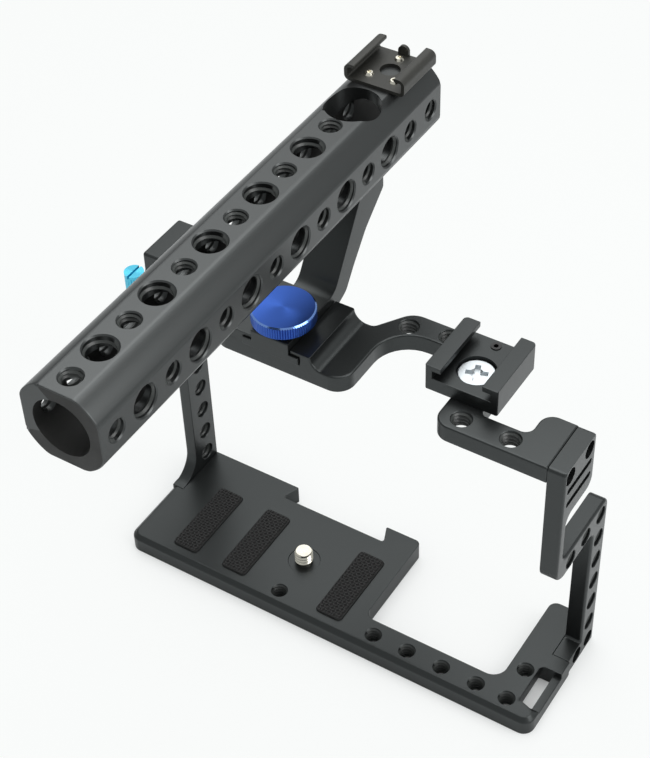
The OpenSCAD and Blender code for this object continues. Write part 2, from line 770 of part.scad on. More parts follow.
// Two screws at the rear and one in front, as [x, y]
shoe_screw_places = [[-4.4, -4.9], [4.3, -4.9], [-0.4, 6.1]];
shoe_screw_shank_r = 1;
shoe_screw_top_r = 1.5;

module handle_shoe_holes() {
    for (p = shoe_screw_places) {
        translate([sheet_x + p.x, shoe_centre_y + p.y, tube_top - 2.6])
            cylinder(r = shoe_screw_shank_r + 0.05, h = 3 + sheet_t);
    }
}

// Half of the sheet's section in X and Z, from the floor round to the lip
module sheet_half() {
    half = sheet_w / 2;
    inner = sheet_t * 0.6;
    outer = inner + sheet_t;
    polygon(rounded([
        [0, 0, 0], [half, 0, outer], [half, sheet_h, outer + 0.3], [half - 3.6, sheet_h + 0.1, 0.4],
        [half - 3.6, sheet_h - sheet_t + 0.1, 0], [half - sheet_t, sheet_h - sheet_t, inner],
        [half - sheet_t, sheet_t, inner], [0, sheet_t, 0]]));
}

module handle_shoe() {
    y1 = shoe_y + sheet_l;
    color(black) centred() difference() {
        union() {
            translate([sheet_x, y1, tube_top]) rotate([90, 0, 0]) linear_extrude(sheet_l) {
                sheet_half();
                mirror([1, 0]) sheet_half();
            }
            stop_tab(y1);
        }
        handle_shoe_holes();
        translate([sheet_x, shoe_centre_y, tube_top - eps]) cylinder(r = tap_r, h = sheet_t + 2 * eps);
    }
}

// Round-topped tab bent up at the front edge, where an accessory's foot stops
module stop_tab(y1) {
    tab_r = 1.8;
    translate([sheet_x - 0.4, y1, tube_top]) rotate([90, 0, 0]) linear_extrude(sheet_t) {
        translate([-tab_r, 0]) square([2 * tab_r, sheet_t + 1.5]);
        translate([0, sheet_t + 1.5]) circle(r = tab_r);
    }
}

module handle_shoe_screws() {
    top = tube_top + sheet_t;
    color(steel) centred() for (p = shoe_screw_places) {
        translate([sheet_x + p.x, shoe_centre_y + p.y, 0]) difference() {
            union() {
                cylinder_up(shoe_screw_shank_r, tube_top - 2.5, top + 0.2);
                translate([0, 0, top]) cylinder(r1 = shoe_screw_top_r, r2 = shoe_screw_top_r - 0.4, h = 0.7);
            }
            translate([0, 0, top + 0.2]) cylinder(r = 0.7, h = 1, $fn = 6);
        }
    }
}

// ---- clamp ----

module clamp_knob() {
    groove_r = 0.26;
    edge = 0.5;                       // chamfer round both faces, where the grooves run out
    knob_z = foot_top + washer_t + 0.05;
    color(blue) centred() translate([handle_x, foot_y + knob_y, knob_z]) difference() {
        rotate_extrude() polygon([[0, 0], [knob_r - edge, 0], [knob_r, edge], [knob_r, knob_h - edge],
                                  [knob_r - edge, knob_h], [0, knob_h]]);
        for (i = [0:knob_grooves - 1]) {
            rotate(i * 360 / knob_grooves) translate([knob_r + 0.05, 0, -1])
                cylinder(r = groove_r, h = knob_h + 2, $fn = 4);
        }
        translate([0, 0, -eps]) cylinder(r = stud_r + 0.02, h = knob_h - 1.5);
    }
}

// Threaded stud pressed into the knob, which bears on the channel's floor
module clamp_stud() {
    knob_z = foot_top + washer_t + 0.05;
    color(steel) centred() translate([handle_x, foot_y + knob_y, 0]) {
        cylinder_up(stud_r, channel_z + 0.6, knob_z + knob_h - 1.6);
        translate([0, 0, channel_z + 0.1]) cylinder(r1 = stud_r - 0.6, r2 = stud_r, h = 0.5);
    }
}

module clamp_washer() {
    color(steel) centred() translate([handle_x, foot_y + knob_y, foot_top]) difference() {
        cylinder(r = knob_r - 2.4, h = washer_t);
        translate([0, 0, -eps]) cylinder(r = stud_r + 0.08, h = washer_t + 2 * eps);
    }
}

// ---- cable lock ----

lock_screw_z = [lock_top - lock_h + 5, lock_top - 5];
lock_wall_y = thumb_y + thumb_r + 0.3;  // rear face of the body's front wall
lock_screw_y = (lock_wall_y + lock_y + lock_d) / 2;
lock_screw_depth = 4;
screw_thread_r = 2;                   // the thumbscrew's thread

module lock_screw_rooms() {
    for (z = lock_screw_z) {
        translate([-lock_screw_depth, lock_screw_y, z]) along_x()
            cylinder(r = m3_r + screw_gap, h = lock_screw_depth + left_t + eps);
        translate([-lock_reach - sunk, lock_screw_y, z]) along_x()
            cylinder(r = m3_head_r + screw_gap, h = lock_reach - lock_screw_depth + sunk);
    }
}

// C-shaped body: two shelves and a front wall, open to the rear where the plug's cable goes in
module cable_lock() {
    z0 = lock_top - lock_h;
    wall_y = lock_wall_y;
    color(black) centred() difference() {
        profile([[lock_y, z0, 1], [lock_y + lock_d, z0, 1], [lock_y + lock_d, lock_top, 1],
                 [lock_y, lock_top, 1], [lock_y, lock_top - shelf_t, 0.5], [wall_y, lock_top - shelf_t, 0.5],
                 [wall_y, z0 + shelf_t, 0.5], [lock_y, z0 + shelf_t, 0.5]], -lock_reach, left_x0);
        translate([thumb_x, thumb_y, lock_top - shelf_t - eps])
            cylinder(r = screw_thread_r + 0.05, h = shelf_t + 2 * eps);
        lock_screw_rooms();
    }
}

module cable_lock_screws() {
    color(black_steel) centred() for (z = lock_screw_z) {
        translate([-lock_screw_depth - m3_head_t, lock_screw_y, z]) along_x()
            cap_screw(m3_head_r, m3_head_t, m3_r, m3_head_t + lock_screw_depth + left_t - 0.2);
    }
}

// Jaw that presses a plug onto the lower shelf
module cable_jaw() {
    z1 = lock_top - shelf_t - jaw_drop;
    wall_y = lock_wall_y - 0.3;
    color(dark) centred() difference() {
        slab([[-lock_reach, lock_y + 1, 1], [left_x0 - 0.3, lock_y + 1, 1],
              [left_x0 - 0.3, wall_y, 0.3], [-lock_reach, wall_y, 0.3]],
             z1 - jaw_t, z1);
        translate([thumb_x, thumb_y, z1 - jaw_t + 0.8]) cylinder(r = screw_thread_r + 0.05, h = jaw_t);
    }
}

module cable_thumbscrew() {
    z0 = lock_top - shelf_t - jaw_drop - jaw_t + 0.9;
    grip_z = lock_top + 4.6;
    color(cyan) centred() translate([thumb_x, thumb_y, 0]) {
        cylinder_up(screw_thread_r, z0, grip_z + 1);
        difference() {
            cylinder_up(thumb_r, grip_z, grip_z + thumb_h);
            translate([-0.4, -thumb_r - 1, grip_z + thumb_h - 1]) cube([0.8, 2 * thumb_r + 2, 2]);
            for (i = [0:19]) {
                rotate(i * 18) translate([thumb_r + 0.05, 0, grip_z + 1])
                    cylinder(r = 0.25, h = thumb_h - 2, $fn = 4);
            }
        }
    }
}

base_plate();
base_pads();
camera_screw();
screw_retainer();
left_side_plate();
right_side_plate();
top_plate();
left_base_screws();
right_base_screws();
left_top_screws();
right_top_screws();
cage_shoe();
shoe_screw();
shoe_set_screw();
handle_riser();
handle_tube();
riser_screws();
handle_shoe();
handle_shoe_screws();
clamp_knob();
clamp_stud();
clamp_washer();
cable_lock();
cable_lock_screws();
cable_jaw();
cable_thumbscrew();
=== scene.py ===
"""Looks and stage for a camera cage with a sliding top handle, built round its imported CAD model."""

import json
import math

import bmesh
import bpy
from bpy.props import FloatProperty, FloatVectorProperty, IntProperty, PointerProperty
from mathutils import Matrix, Vector


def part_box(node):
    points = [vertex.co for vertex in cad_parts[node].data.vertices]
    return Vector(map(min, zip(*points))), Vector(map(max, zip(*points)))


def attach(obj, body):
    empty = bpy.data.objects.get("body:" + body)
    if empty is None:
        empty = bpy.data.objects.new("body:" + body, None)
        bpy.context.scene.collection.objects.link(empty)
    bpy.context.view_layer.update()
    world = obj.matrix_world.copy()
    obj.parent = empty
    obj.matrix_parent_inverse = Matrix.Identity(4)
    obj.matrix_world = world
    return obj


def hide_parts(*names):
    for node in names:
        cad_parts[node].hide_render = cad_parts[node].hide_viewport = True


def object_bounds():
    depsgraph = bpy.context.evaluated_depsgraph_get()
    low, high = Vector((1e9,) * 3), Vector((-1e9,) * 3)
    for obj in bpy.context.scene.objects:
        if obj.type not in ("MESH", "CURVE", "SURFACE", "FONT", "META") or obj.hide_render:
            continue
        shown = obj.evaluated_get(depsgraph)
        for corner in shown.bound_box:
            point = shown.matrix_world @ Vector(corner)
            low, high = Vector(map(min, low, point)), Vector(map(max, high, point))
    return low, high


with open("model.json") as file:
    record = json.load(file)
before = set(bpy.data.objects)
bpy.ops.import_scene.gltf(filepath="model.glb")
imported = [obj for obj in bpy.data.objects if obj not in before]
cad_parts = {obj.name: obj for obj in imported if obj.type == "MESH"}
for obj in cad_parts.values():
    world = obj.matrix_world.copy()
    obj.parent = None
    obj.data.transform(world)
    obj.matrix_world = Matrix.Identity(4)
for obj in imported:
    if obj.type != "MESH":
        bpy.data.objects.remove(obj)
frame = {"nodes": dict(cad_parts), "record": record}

bl_info = {
    "name": "Camera Cage",
    "version": (1, 0, 0),
    "blender": (4, 5, 0),
    "location": "View3D > Sidebar > Cage",
    "description": "Dresses a camera cage with rounded edges, threads and anodised finishes",
    "category": "Object",
}

MM = 0.001
NODES = frame["nodes"]
MOUNTS = {mount["name"]: mount for mount in frame["record"]["mounts"]}
CAD_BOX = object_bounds()
CAGE = "cage"
HANDLE = "handle"

X, Y, Z = Vector((1, 0, 0)), Vector((0, 1, 0)), Vector((0, 0, 1))
JOIN = 0.002 * MM          # vertices closer than this are one
NEAR = 0.1 * MM            # edges closer than this to a face lie on it
SUNK = 0.03 * MM           # how far a piece that stands on another is sunk into it
FLAT = math.radians(0.4)   # faces that turn less than this are one flat face
SHARP = math.radians(32)   # edges that turn more than this stay sharp
UPRIGHT = 0.05             # most that the normal of an upright wall leans
LEVEL = 0.95               # least height of the normal of a face that lies flat
THREAD_FOOT = 0.46         # half the width of a thread's ridge at its foot, as a share of the pitch
THREAD_CREST = 0.07        # the same at its crest
LONG_RUN = 60 * MM         # outlines are longer than this, and the rims of holes are shorter
TINY = 0.01 * MM ** 2      # turned triangles smaller than this don't show

BASE_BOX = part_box("base_plate")
TOP_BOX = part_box("top_plate")
LEFT_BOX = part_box("left_side_plate")
RIGHT_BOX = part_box("right_side_plate")
TUBE_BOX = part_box("handle_tube")
KNOB_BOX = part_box("clamp_knob")
PAD_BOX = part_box("base_pads")
SCREW_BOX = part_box("camera_screw")

TOP_PLATE_T = 6 * MM       # thickness of the top plate's arms
BASE_CORNER = 4.1 * MM     # reach of the base plate's rear corners
FOOT_Y = BASE_BOX[0].y + 28.4 * MM  # where the right plate's foot begins
LEFT_PLATE_T = 4.6 * MM    # thickness of the left plate's upright
RIDGE = 13.7 * MM          # half the width between the channel block's ridges


def middle(box):
    """Centre of a box."""
    return (box[0] + box[1]) / 2


def bore_radius():
    """Radius of the tube's bore, read at the tube's rear end."""
    centre = middle(TUBE_BOX)
    return min(math.hypot(vert.co.x - centre.x, vert.co.z - centre.z)
               for vert in NODES["handle_tube"].data.vertices if vert.co.y < TUBE_BOX[0].y + JOIN)


# ---- sizes and colours a user would change ----

class CageEdges(bpy.types.PropertyGroup):
    """Roundings of the milled edges."""

    base: FloatProperty(
        name="Base rim", description="Chamfer round the base plate's upper edge",
        default=1.5 * MM, min=0, unit="LENGTH")
    top: FloatProperty(
        name="Top plate", description="Rounding round the top plate's upper edge",
        default=0.6 * MM, min=0, unit="LENGTH")
    side: FloatProperty(
        name="Side plates", description="Rounding round the side plates' outer faces",
        default=0.9 * MM, min=0, unit="LENGTH")
    tube: FloatProperty(
        name="Tube ends", description="Rounding at the handle tube's ends",
        default=0.4 * MM, min=0, unit="LENGTH")
    flats: FloatProperty(
        name="Tube flats", description="Rounding between the handle tube's flats and its round corners",
        default=0.95 * MM, min=0, unit="LENGTH")
    fine: FloatProperty(
        name="Broken edges", description="Small rounding of every other edge",
        default=0.25 * MM, min=0, unit="LENGTH")
    glint: FloatProperty(
        name="Glint", description="Rounding at both edges of a chamfer, which catches the light",
        default=0.3 * MM, min=0, unit="LENGTH")


class CageThreads(bpy.types.PropertyGroup):
    """Threads of the tapped holes and the camera screw."""

    pitch: FloatProperty(
        name="Pitch", description="Pitch of the quarter-inch thread",
        default=1.27 * MM, min=0.5 * MM, unit="LENGTH")
    big_pitch: FloatProperty(
        name="Big pitch", description="Pitch of the three-eighths thread",
        default=1.588 * MM, min=0.5 * MM, unit="LENGTH")
    depth: FloatProperty(
        name="Depth", description="Height of the thread's ridges",
        default=0.5 * MM, min=0.1 * MM, unit="LENGTH")
    fine_depth: FloatProperty(
        name="Base depth", description="Height of the ridges in the base plate's holes",
        default=0.35 * MM, min=0.1 * MM, unit="LENGTH")
    steps: IntProperty(
        name="Steps", description="Flat steps in one turn of a thread", default=24, min=8)


class CagePads(bpy.types.PropertyGroup):
    """Crossed ribs of the rubber pads."""

    pitch: FloatProperty(
        name="Pitch", description="Spacing of the ribs", default=1.5 * MM, min=0.8 * MM, unit="LENGTH")
    rim: FloatProperty(
        name="Rim", description="Width of the plain rim", default=0.45 * MM, min=0.3 * MM, unit="LENGTH")
    depth: FloatProperty(
        name="Depth", description="Depth of the diamond pits", default=0.45 * MM, min=0.1 * MM, unit="LENGTH")
    edge: FloatProperty(
        name="Edge", description="Rounding round a pad's top", default=0.2 * MM, min=0, unit="LENGTH")
    rib_share: FloatProperty(
        name="Rib share", description="Width of a rib's crest as a share of the pitch", default=0.3, min=0.1, max=0.8)
    rib_flare: FloatProperty(
        name="Rib flare", description="How much wider a rib is at its foot, as a share of its width", default=0.5,
        min=0)


class CageColours(bpy.types.PropertyGroup):
    """Colours of the finishes."""

    black: FloatVectorProperty(
        name="Black", description="Anodised plates", subtype="COLOR", size=3, default=(0.045, 0.049, 0.047))
    handle: FloatVectorProperty(
        name="Handle", description="Anodised handle", subtype="COLOR", size=3, default=(0.072, 0.070, 0.066))
    # Bore: a darker copy of the handle's anodising, painted shade inside the tube where the lamps reach little
    bored: FloatVectorProperty(
        name="Bore", description="Anodised inside of the handle, which no lamp reaches well", subtype="COLOR", size=3,
        default=(0.016, 0.016, 0.015))
    blue: FloatVectorProperty(
        name="Blue", description="Clamping knob", subtype="COLOR", size=3, default=(0.036, 0.095, 0.38))
    # Edge blue: the knob's upper chamfer is polished, and its lighter blue is a painted highlight
    chamfer_blue_and_painted_highlight: FloatVectorProperty(
        name="Edge blue", description="Polished chamfer of the knob", subtype="COLOR", size=3,
        default=(0.24, 0.42, 0.92))
    cyan: FloatVectorProperty(
        name="Cyan", description="Cable lock's thumbscrew", subtype="COLOR", size=3, default=(0.10, 0.50, 0.68))
    rubber: FloatVectorProperty(
        name="Rubber", description="Base pads", subtype="COLOR", size=3, default=(0.115, 0.108, 0.110))
    # Pits: near-black rubber on the pits' bottoms, painted shade in the recesses
    pits: FloatVectorProperty(
        name="Pits", description="Bottoms of the pads' pits", subtype="COLOR", size=3, default=(0.022, 0.020, 0.020))
    nickel: FloatVectorProperty(
        name="Nickel", description="Camera screw", subtype="COLOR", size=3, default=(0.72, 0.69, 0.60))
    zinc: FloatVectorProperty(
        name="Zinc", description="Shoe's cross-head screw", subtype="COLOR", size=3, default=(0.30, 0.42, 0.43))
    oxide: FloatVectorProperty(
        name="Black oxide", description="Socket screws", subtype="COLOR", size=3, default=(0.05, 0.05, 0.05))
    sheet: FloatVectorProperty(
        name="Sheet", description="Bent sheet shoe", subtype="COLOR", size=3, default=(0.022, 0.022, 0.021))
    floor: FloatVectorProperty(
        name="Floor", description="Floor under the cage", subtype="COLOR", size=3, default=(0.90, 0.91, 0.91))


class CageStage(bpy.types.PropertyGroup):
    """Camera, lamps and floor."""

    camera_place: FloatVectorProperty(
        name="Camera place", description="Where the camera stands", subtype="TRANSLATION", size=3,
        default=(0.2165, -0.3109, 0.4724))
    camera_turn: FloatVectorProperty(
        name="Camera turn", description="How the camera is turned", subtype="EULER", size=3,
        default=(math.radians(46.265), math.radians(1.786), math.radians(32.134)))
    lens: FloatProperty(
        name="Lens", description="Focal length on a film 36 mm high, in millimetres", default=84.24, min=1)
    floor_seen: FloatVectorProperty(
        name="Floor as seen", description="Light that the camera sees coming from the open floor", subtype="COLOR",
        size=3, default=(0.955, 0.970, 0.962))
    floor_share: FloatProperty(
        name="Floor share", description="Share of that light in what the camera sees, the rest being shaded floor",
        default=0.92, min=0, max=1)
    contact: FloatProperty(
        name="Contact shade", description="How far from the cage its dark contact shade reaches",
        default=20 * MM, min=0, unit="LENGTH")
    floor_size: FloatProperty(
        name="Floor size", description="Width of the floor", default=6, min=1, unit="LENGTH")
    overhead: FloatProperty(
        name="Overhead lamp", description="Power of the soft lamp over the handle", default=2, min=0, unit="POWER")
    back: FloatProperty(
        name="Back lamp", description="Power of the soft lamp behind the cage", default=2, min=0, unit="POWER")
    right: FloatProperty(
        name="Side lamp", description="Power of the soft lamp on the grip side", default=4, min=0, unit="POWER")
    sky: FloatProperty(
        name="Room light", description="Strength of the even light of the room", default=0.5, min=0)


def settings():
    """The cage's settings in this scene."""
    return bpy.context.scene.cage


class CageSettings(bpy.types.PropertyGroup):
    """All settings of the cage."""

    edges: PointerProperty(type=CageEdges)
    threads: PointerProperty(type=CageThreads)
    pads: PointerProperty(type=CagePads)
    colours: PointerProperty(type=CageColours)
    stage: PointerProperty(type=CageStage)


# ---- meshes ----

def merged(node):
    """A bmesh of a CAD node, with its doubles joined and its flat faces whole."""
    bm = bmesh.new()
    bm.from_mesh(NODES[node].data)
    bmesh.ops.remove_doubles(bm, verts=bm.verts, dist=JOIN)
    bmesh.ops.dissolve_limit(bm, angle_limit=FLAT, use_dissolve_boundaries=False, verts=bm.verts, edges=bm.edges)
    return bm


def convex(bm, test):
    """The sharp outer edges whose middle and two face normals pass the test."""
    found = []
    for edge in bm.edges:
        if len(edge.link_faces) == 2 and edge.is_convex and edge.calc_face_angle() > SHARP:
            place = (edge.verts[0].co + edge.verts[1].co) / 2
            if test(place, [face.normal for face in edge.link_faces]):
                found.append(edge)
    return found


def long_runs(edges, least=LONG_RUN):
    """Those edges that hang together in runs longer than least, which leaves out the rims of holes."""
    left, kept = set(edges), []
    while left:
        run, front = [], [left.pop()]
        while front:
            edge = front.pop()
            run.append(edge)
            near = {other for vert in edge.verts for other in vert.link_edges} & left
            left -= near
            front.extend(near)
        if sum(edge.calc_length() for edge in run) > least:
            kept.extend(run)
    return kept


def rim(normals, side):
    """True where one face looks towards the side and the other stands upright against it."""
    leans = sorted(normal.dot(side) for normal in normals)
    return leans[1] > UPRIGHT and abs(leans[0]) < UPRIGHT


def round_off(bm, edges, radius, segments=3):
    """Rounds edges, and returns the faces that it makes."""
    made = bmesh.ops.bevel(bm, geom=edges, offset=radius, offset_type="OFFSET", segments=segments, profile=0.5,
                           material=-1, affect="EDGES", clamp_overlap=False, loop_slide=False)
    return made["faces"]


def chamfer(bm, edges, width):
    """Cuts edges at a slant, and rounds the two edges of the cut a little."""
    cut = set(round_off(bm, edges, width, 1))
    borders = [edge for edge in {edge for face in cut for edge in face.edges}
               if len(set(edge.link_faces) & cut) == 1 and edge.calc_face_angle(0) > SHARP]
    round_off(bm, borders, settings().edges.glint, 2)


def flat_side(seed, left):
    """The faces that hang together with the seed in its plane."""
    level = seed.verts[0].co.dot(seed.normal)
    side, front = {seed}, [seed]
    while front:
        for edge in front.pop().edges:
            for face in set(edge.link_faces) & left - side:
                if all(abs(vert.co.dot(seed.normal) - level) < JOIN for vert in face.verts):
                    side.add(face)
                    front.append(face)
    return side


def fill_sides(bm):
    """Fills anew each flat side whose seams between rim and holes cross since its rim moved."""
    bm.normal_update()
    crossed = {loops[0].face for loops in bm.calc_loop_triangles() if turned_over(loops)}
    while crossed:
        seed = max(crossed, key=lambda face: face.calc_area())
        normal = seed.normal.copy()
        side = flat_side(seed, set(bm.faces))
        crossed -= side
        rims = [edge for edge in {edge for face in side for edge in face.edges}
                if len(set(edge.link_faces) & side) == 1]
        bmesh.ops.delete(bm, geom=list(side), context="FACES_KEEP_BOUNDARY")
        bmesh.ops.triangle_fill(bm, edges=rims, normal=normal, use_beauty=True)
    bmesh.ops.holes_fill(bm, edges=[edge for edge in bm.edges if edge.is_boundary], sides=0)
    bmesh.ops.dissolve_degenerate(bm, dist=JOIN / 4, edges=bm.edges)


def turned_over(loops):
    """True for a triangle of a face that looks the other way than the face."""
    a, b, c = [loop.vert.co for loop in loops]
    return (b - a).cross(c - a).dot(loops[0].face.normal) < -TINY


def break_edges(bm, least=LONG_RUN, test=lambda place, normals: True):
    """Takes the sharpness off the long edges that are left."""
    round_off(bm, long_runs(convex(bm, test), least), settings().edges.fine, 2)


def add_milled(bm, name, finish, body, nodes):
    """Makes the bmesh of a rounded copy of CAD nodes a piece."""
    fill_sides(bm)
    return add_piece(bm, name, finish_of(finish), body, nodes)


def add_piece(bm, name, material, body, replaced=()):
    """Makes the bmesh a piece that rides on a body and stands for the CAD nodes it replaces.

    A rounding that runs past the CAD model's box by a few hundredths of a millimetre is pulled back to it.
    """
    bmesh.ops.recalc_face_normals(bm, faces=bm.faces)
    for vert in bm.verts:
        vert.co = [min(max(value, low), high) for value, low, high in zip(vert.co, *CAD_BOX)]
    for edge in bm.edges:
        edge.smooth = edge.calc_face_angle(math.pi) < SHARP
    mesh = bpy.data.meshes.new(name)
    bm.to_mesh(mesh)
    bm.free()
    mesh.materials.append(material)
    mesh.polygons.foreach_set("use_smooth", [True] * len(mesh.polygons))
    piece = bpy.data.objects.new(name, mesh)
    bpy.context.scene.collection.objects.link(piece)
    weights = piece.modifiers.new("Face weights", "WEIGHTED_NORMAL")
    weights.keep_sharp = True
    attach(piece, body)
    if replaced:
        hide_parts(*replaced)
    return piece


def holes_of(row, step):
    """Centre and radius of each hole in a row along step, whose mounts are the row's name and a number."""
    for name, mount in MOUNTS.items():
        if name != row and not name.startswith(row + "_"):
            continue
        sizes = mount["dims"]
        count = sizes.get("count", 1)
        spacing = sizes.get("spacing_x_mm", sizes.get("spacing_y_mm", 0)) * MM
        radius = sizes.get("hole_r_mm", sizes.get("r_mm")) * MM
        for i in range(count):
            yield Vector(mount["pos_m"]) + step * spacing * (i - (count - 1) / 2), radius


def thread(bm, centre, axis, low, high, radius, depth, inwards=True, pitch=None):
    """One ridge wound round an axis, from low to high along it, inside a hole or outside a shank."""
    cut = settings().threads
    pitch = pitch or cut.pitch
    out = axis.orthogonal().normalized()
    foot = radius + SUNK if inwards else radius - depth - SUNK
    crest = radius - depth if inwards else radius
    start = centre - axis * centre.dot(axis) + axis * (low + 0.5 * pitch)
    corners = [start + out * reach + axis * share * pitch
               for reach, share in ((foot, -THREAD_FOOT), (foot, THREAD_FOOT),
                                    (crest, THREAD_CREST), (crest, -THREAD_CREST))]
    face = bm.faces.new([bm.verts.new(corner) for corner in corners])
    turns = (high - low) / pitch - 1
    steps = max(2, round(cut.steps * turns))
    bmesh.ops.spin(bm, geom=[face, *face.edges, *face.verts], cent=centre, axis=axis,
                   dvec=axis * pitch / cut.steps, angle=math.tau * steps / cut.steps, steps=steps)


# ---- materials ----

def new_material(name, colour, roughness, metallic=0.0):
    """A material and its shader."""
    material = bpy.data.materials.new(name)
    material.use_nodes = True
    shader = material.node_tree.nodes["Principled BSDF"]
    shader.inputs["Base Color"].default_value = (*colour, 1)
    shader.inputs["Roughness"].default_value = roughness
    shader.inputs["Metallic"].default_value = metallic
    return material, shader


def add_node(material, kind, **values):
    """Adds a shader node, whose values go to its sockets or else to its settings."""
    node = material.node_tree.nodes.new(kind)
    for key, value in values.items():
        if key in node.inputs:
            node.inputs[key].default_value = value
        else:
            setattr(node, key, value)
    return node


def link(material, source, target):
    material.node_tree.links.new(source, target)


def place_of(material):
    """The place on the object, in metres."""
    return add_node(material, "ShaderNodeTexCoord").outputs["Object"]


def cloudy(material, shader, colour, size, spread):
    """Lets the base colour drift a little over patches of that size."""
    noise = add_node(material, "ShaderNodeTexNoise", Scale=1 / size, Detail=3.0)
    ramp = add_node(material, "ShaderNodeValToRGB")
    link(material, place_of(material), noise.inputs["Vector"])
    link(material, noise.outputs["Fac"], ramp.inputs["Fac"])
    ramp.color_ramp.elements[0].position = 0.3
    ramp.color_ramp.elements[1].position = 0.7
    for element, level in zip(ramp.color_ramp.elements, (1 - spread, 1 + spread)):
        element.color = (*[channel * level for channel in colour], 1)
    link(material, ramp.outputs["Color"], shader.inputs["Base Color"])


def grain(material, shader, size, height):
    """Fine blasted grain."""
    noise = add_node(material, "ShaderNodeTexNoise", Scale=1 / size, Detail=2.0)
    bump = add_node(material, "ShaderNodeBump", Strength=1.0, Distance=height)
    link(material, place_of(material), noise.inputs["Vector"])
    link(material, noise.outputs["Fac"], bump.inputs["Height"])
    link(material, bump.outputs["Normal"], shader.inputs["Normal"])


def handled(material, shader, size, low, high):
    """Lets the roughness drift between low and high, as skin and cloth polish it."""
    noise = add_node(material, "ShaderNodeTexNoise", Scale=1 / size, Detail=4.0)
    spread = add_node(material, "ShaderNodeMapRange")
    link(material, place_of(material), noise.inputs["Vector"])
    link(material, noise.outputs["Fac"], spread.inputs["Value"])
    spread.inputs["From Min"].default_value = 0.35
    spread.inputs["From Max"].default_value = 0.65
    spread.inputs["To Min"].default_value = low
    spread.inputs["To Max"].default_value = high
    link(material, spread.outputs["Result"], shader.inputs["Roughness"])


def anodised(name, colour, roughness=0.42):
    """Blasted and anodised aluminium."""
    material, shader = new_material(name, colour, roughness)
    cloudy(material, shader, colour, 22 * MM, 0.07)
    grain(material, shader, 0.22 * MM, 0.012 * MM)
    handled(material, shader, 9 * MM, roughness - 0.04, roughness + 0.05)
    return material


def bright(name, colour, roughness):
    """Plated steel with faint drawn lines."""
    material, shader = new_material(name, colour, roughness, metallic=1.0)
    cloudy(material, shader, colour, 2 * MM, 0.08)
    grain(material, shader, 0.15 * MM, 0.006 * MM)
    return material


def turned(name, colour, axis_place, roughness=0.3):
    """Aluminium turned on a lathe and anodised: fine rings round its axis, and a sheen that follows them."""
    material, shader = new_material(name, colour, roughness, metallic=1.0)
    centre = add_node(material, "ShaderNodeMapping")
    centre.inputs["Location"].default_value = -axis_place
    rings = add_node(material, "ShaderNodeTexWave", wave_type="RINGS", rings_direction="Z",
                     Scale=0.31416 / (0.25 * MM), Distortion=0.6)
    bump = add_node(material, "ShaderNodeBump", Strength=0.5, Distance=0.004 * MM)
    tangent = add_node(material, "ShaderNodeTangent", direction_type="RADIAL", axis="Z")
    link(material, place_of(material), centre.inputs["Vector"])
    link(material, centre.outputs["Vector"], rings.inputs["Vector"])
    link(material, rings.outputs["Fac"], bump.inputs["Height"])
    link(material, bump.outputs["Normal"], shader.inputs["Normal"])
    link(material, tangent.outputs["Tangent"], shader.inputs["Tangent"])
    shader.inputs["Anisotropic"].default_value = 0.75
    return material


def moulded_rubber(name, colour, roughness):
    """Rubber with the fine grain of its mould and a little dust on it."""
    material, shader = new_material(name, colour, roughness)
    cloudy(material, shader, colour, 6 * MM, 0.15)
    grain(material, shader, 0.3 * MM, 0.02 * MM)
    return material


def finish_of(name):
    """The material of that name, made the first time it is asked for."""
    colours = settings().colours
    makers = {
        "anodised_black": lambda: anodised("anodised_black", colours.black),
        "anodised_handle": lambda: anodised("anodised_handle", colours.handle, roughness=0.46),
        "bore_painted_shade": lambda: anodised("bore_painted_shade", colours.bored, roughness=0.6),
        # Thread black: the plates' own black in their holes; in the lighter handle it is painted shade
        "thread_black_and_painted_shade": lambda: anodised("thread_black_and_painted_shade", colours.black, roughness=0.35),
        "turned_blue": lambda: turned("turned_blue", colours.blue, middle(KNOB_BOX)),
        "polished_blue_and_painted_highlight": lambda: bright("polished_blue_and_painted_highlight", colours.chamfer_blue_and_painted_highlight, roughness=0.16),
        "turned_cyan": lambda: turned("turned_cyan", colours.cyan, middle(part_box("cable_thumbscrew"))),
        "pad_rubber": lambda: moulded_rubber("pad_rubber", colours.rubber, roughness=0.75),
        "pad_pit_painted_shade": lambda: moulded_rubber("pad_pit_painted_shade", colours.pits, roughness=0.9),
        "nickel": lambda: bright("nickel", colours.nickel, roughness=0.22),
        "zinc": lambda: bright("zinc", colours.zinc, roughness=0.38),
        "black_oxide": lambda: bright("black_oxide", colours.oxide, roughness=0.38),
        "black_sheet": lambda: anodised("black_sheet", colours.sheet, roughness=0.28),
    }
    return bpy.data.materials.get(name) or makers[name]()


def dress(node, finish):
    """Gives a CAD node that stays as it is its finish."""
    for slot in NODES[node].material_slots:
        slot.material = finish_of(finish)


# ---- pieces ----

class CAGE_OT_base_plate(bpy.types.Operator):
    """Base plate with a rounded rim"""

    bl_idname = "cage.base_plate"
    bl_label = "Base plate"

    def execute(self, context):
        low, high = BASE_BOX
        bm = merged("base_plate")

        def on_rim(place):
            at_end = place.x < low.x + NEAR or place.x > high.x - BASE_CORNER
            return place.y < low.y + BASE_CORNER or (at_end and place.y < FOOT_Y)

        def upper(place, normals):
            return rim(normals, Z) and place.z > high.z - NEAR and on_rim(place)

        chamfer(bm, long_runs(convex(bm, upper)), settings().edges.base)
        break_edges(bm)
        add_milled(bm, "milled_base_plate", "anodised_black", CAGE, ["base_plate"])
        return {"FINISHED"}


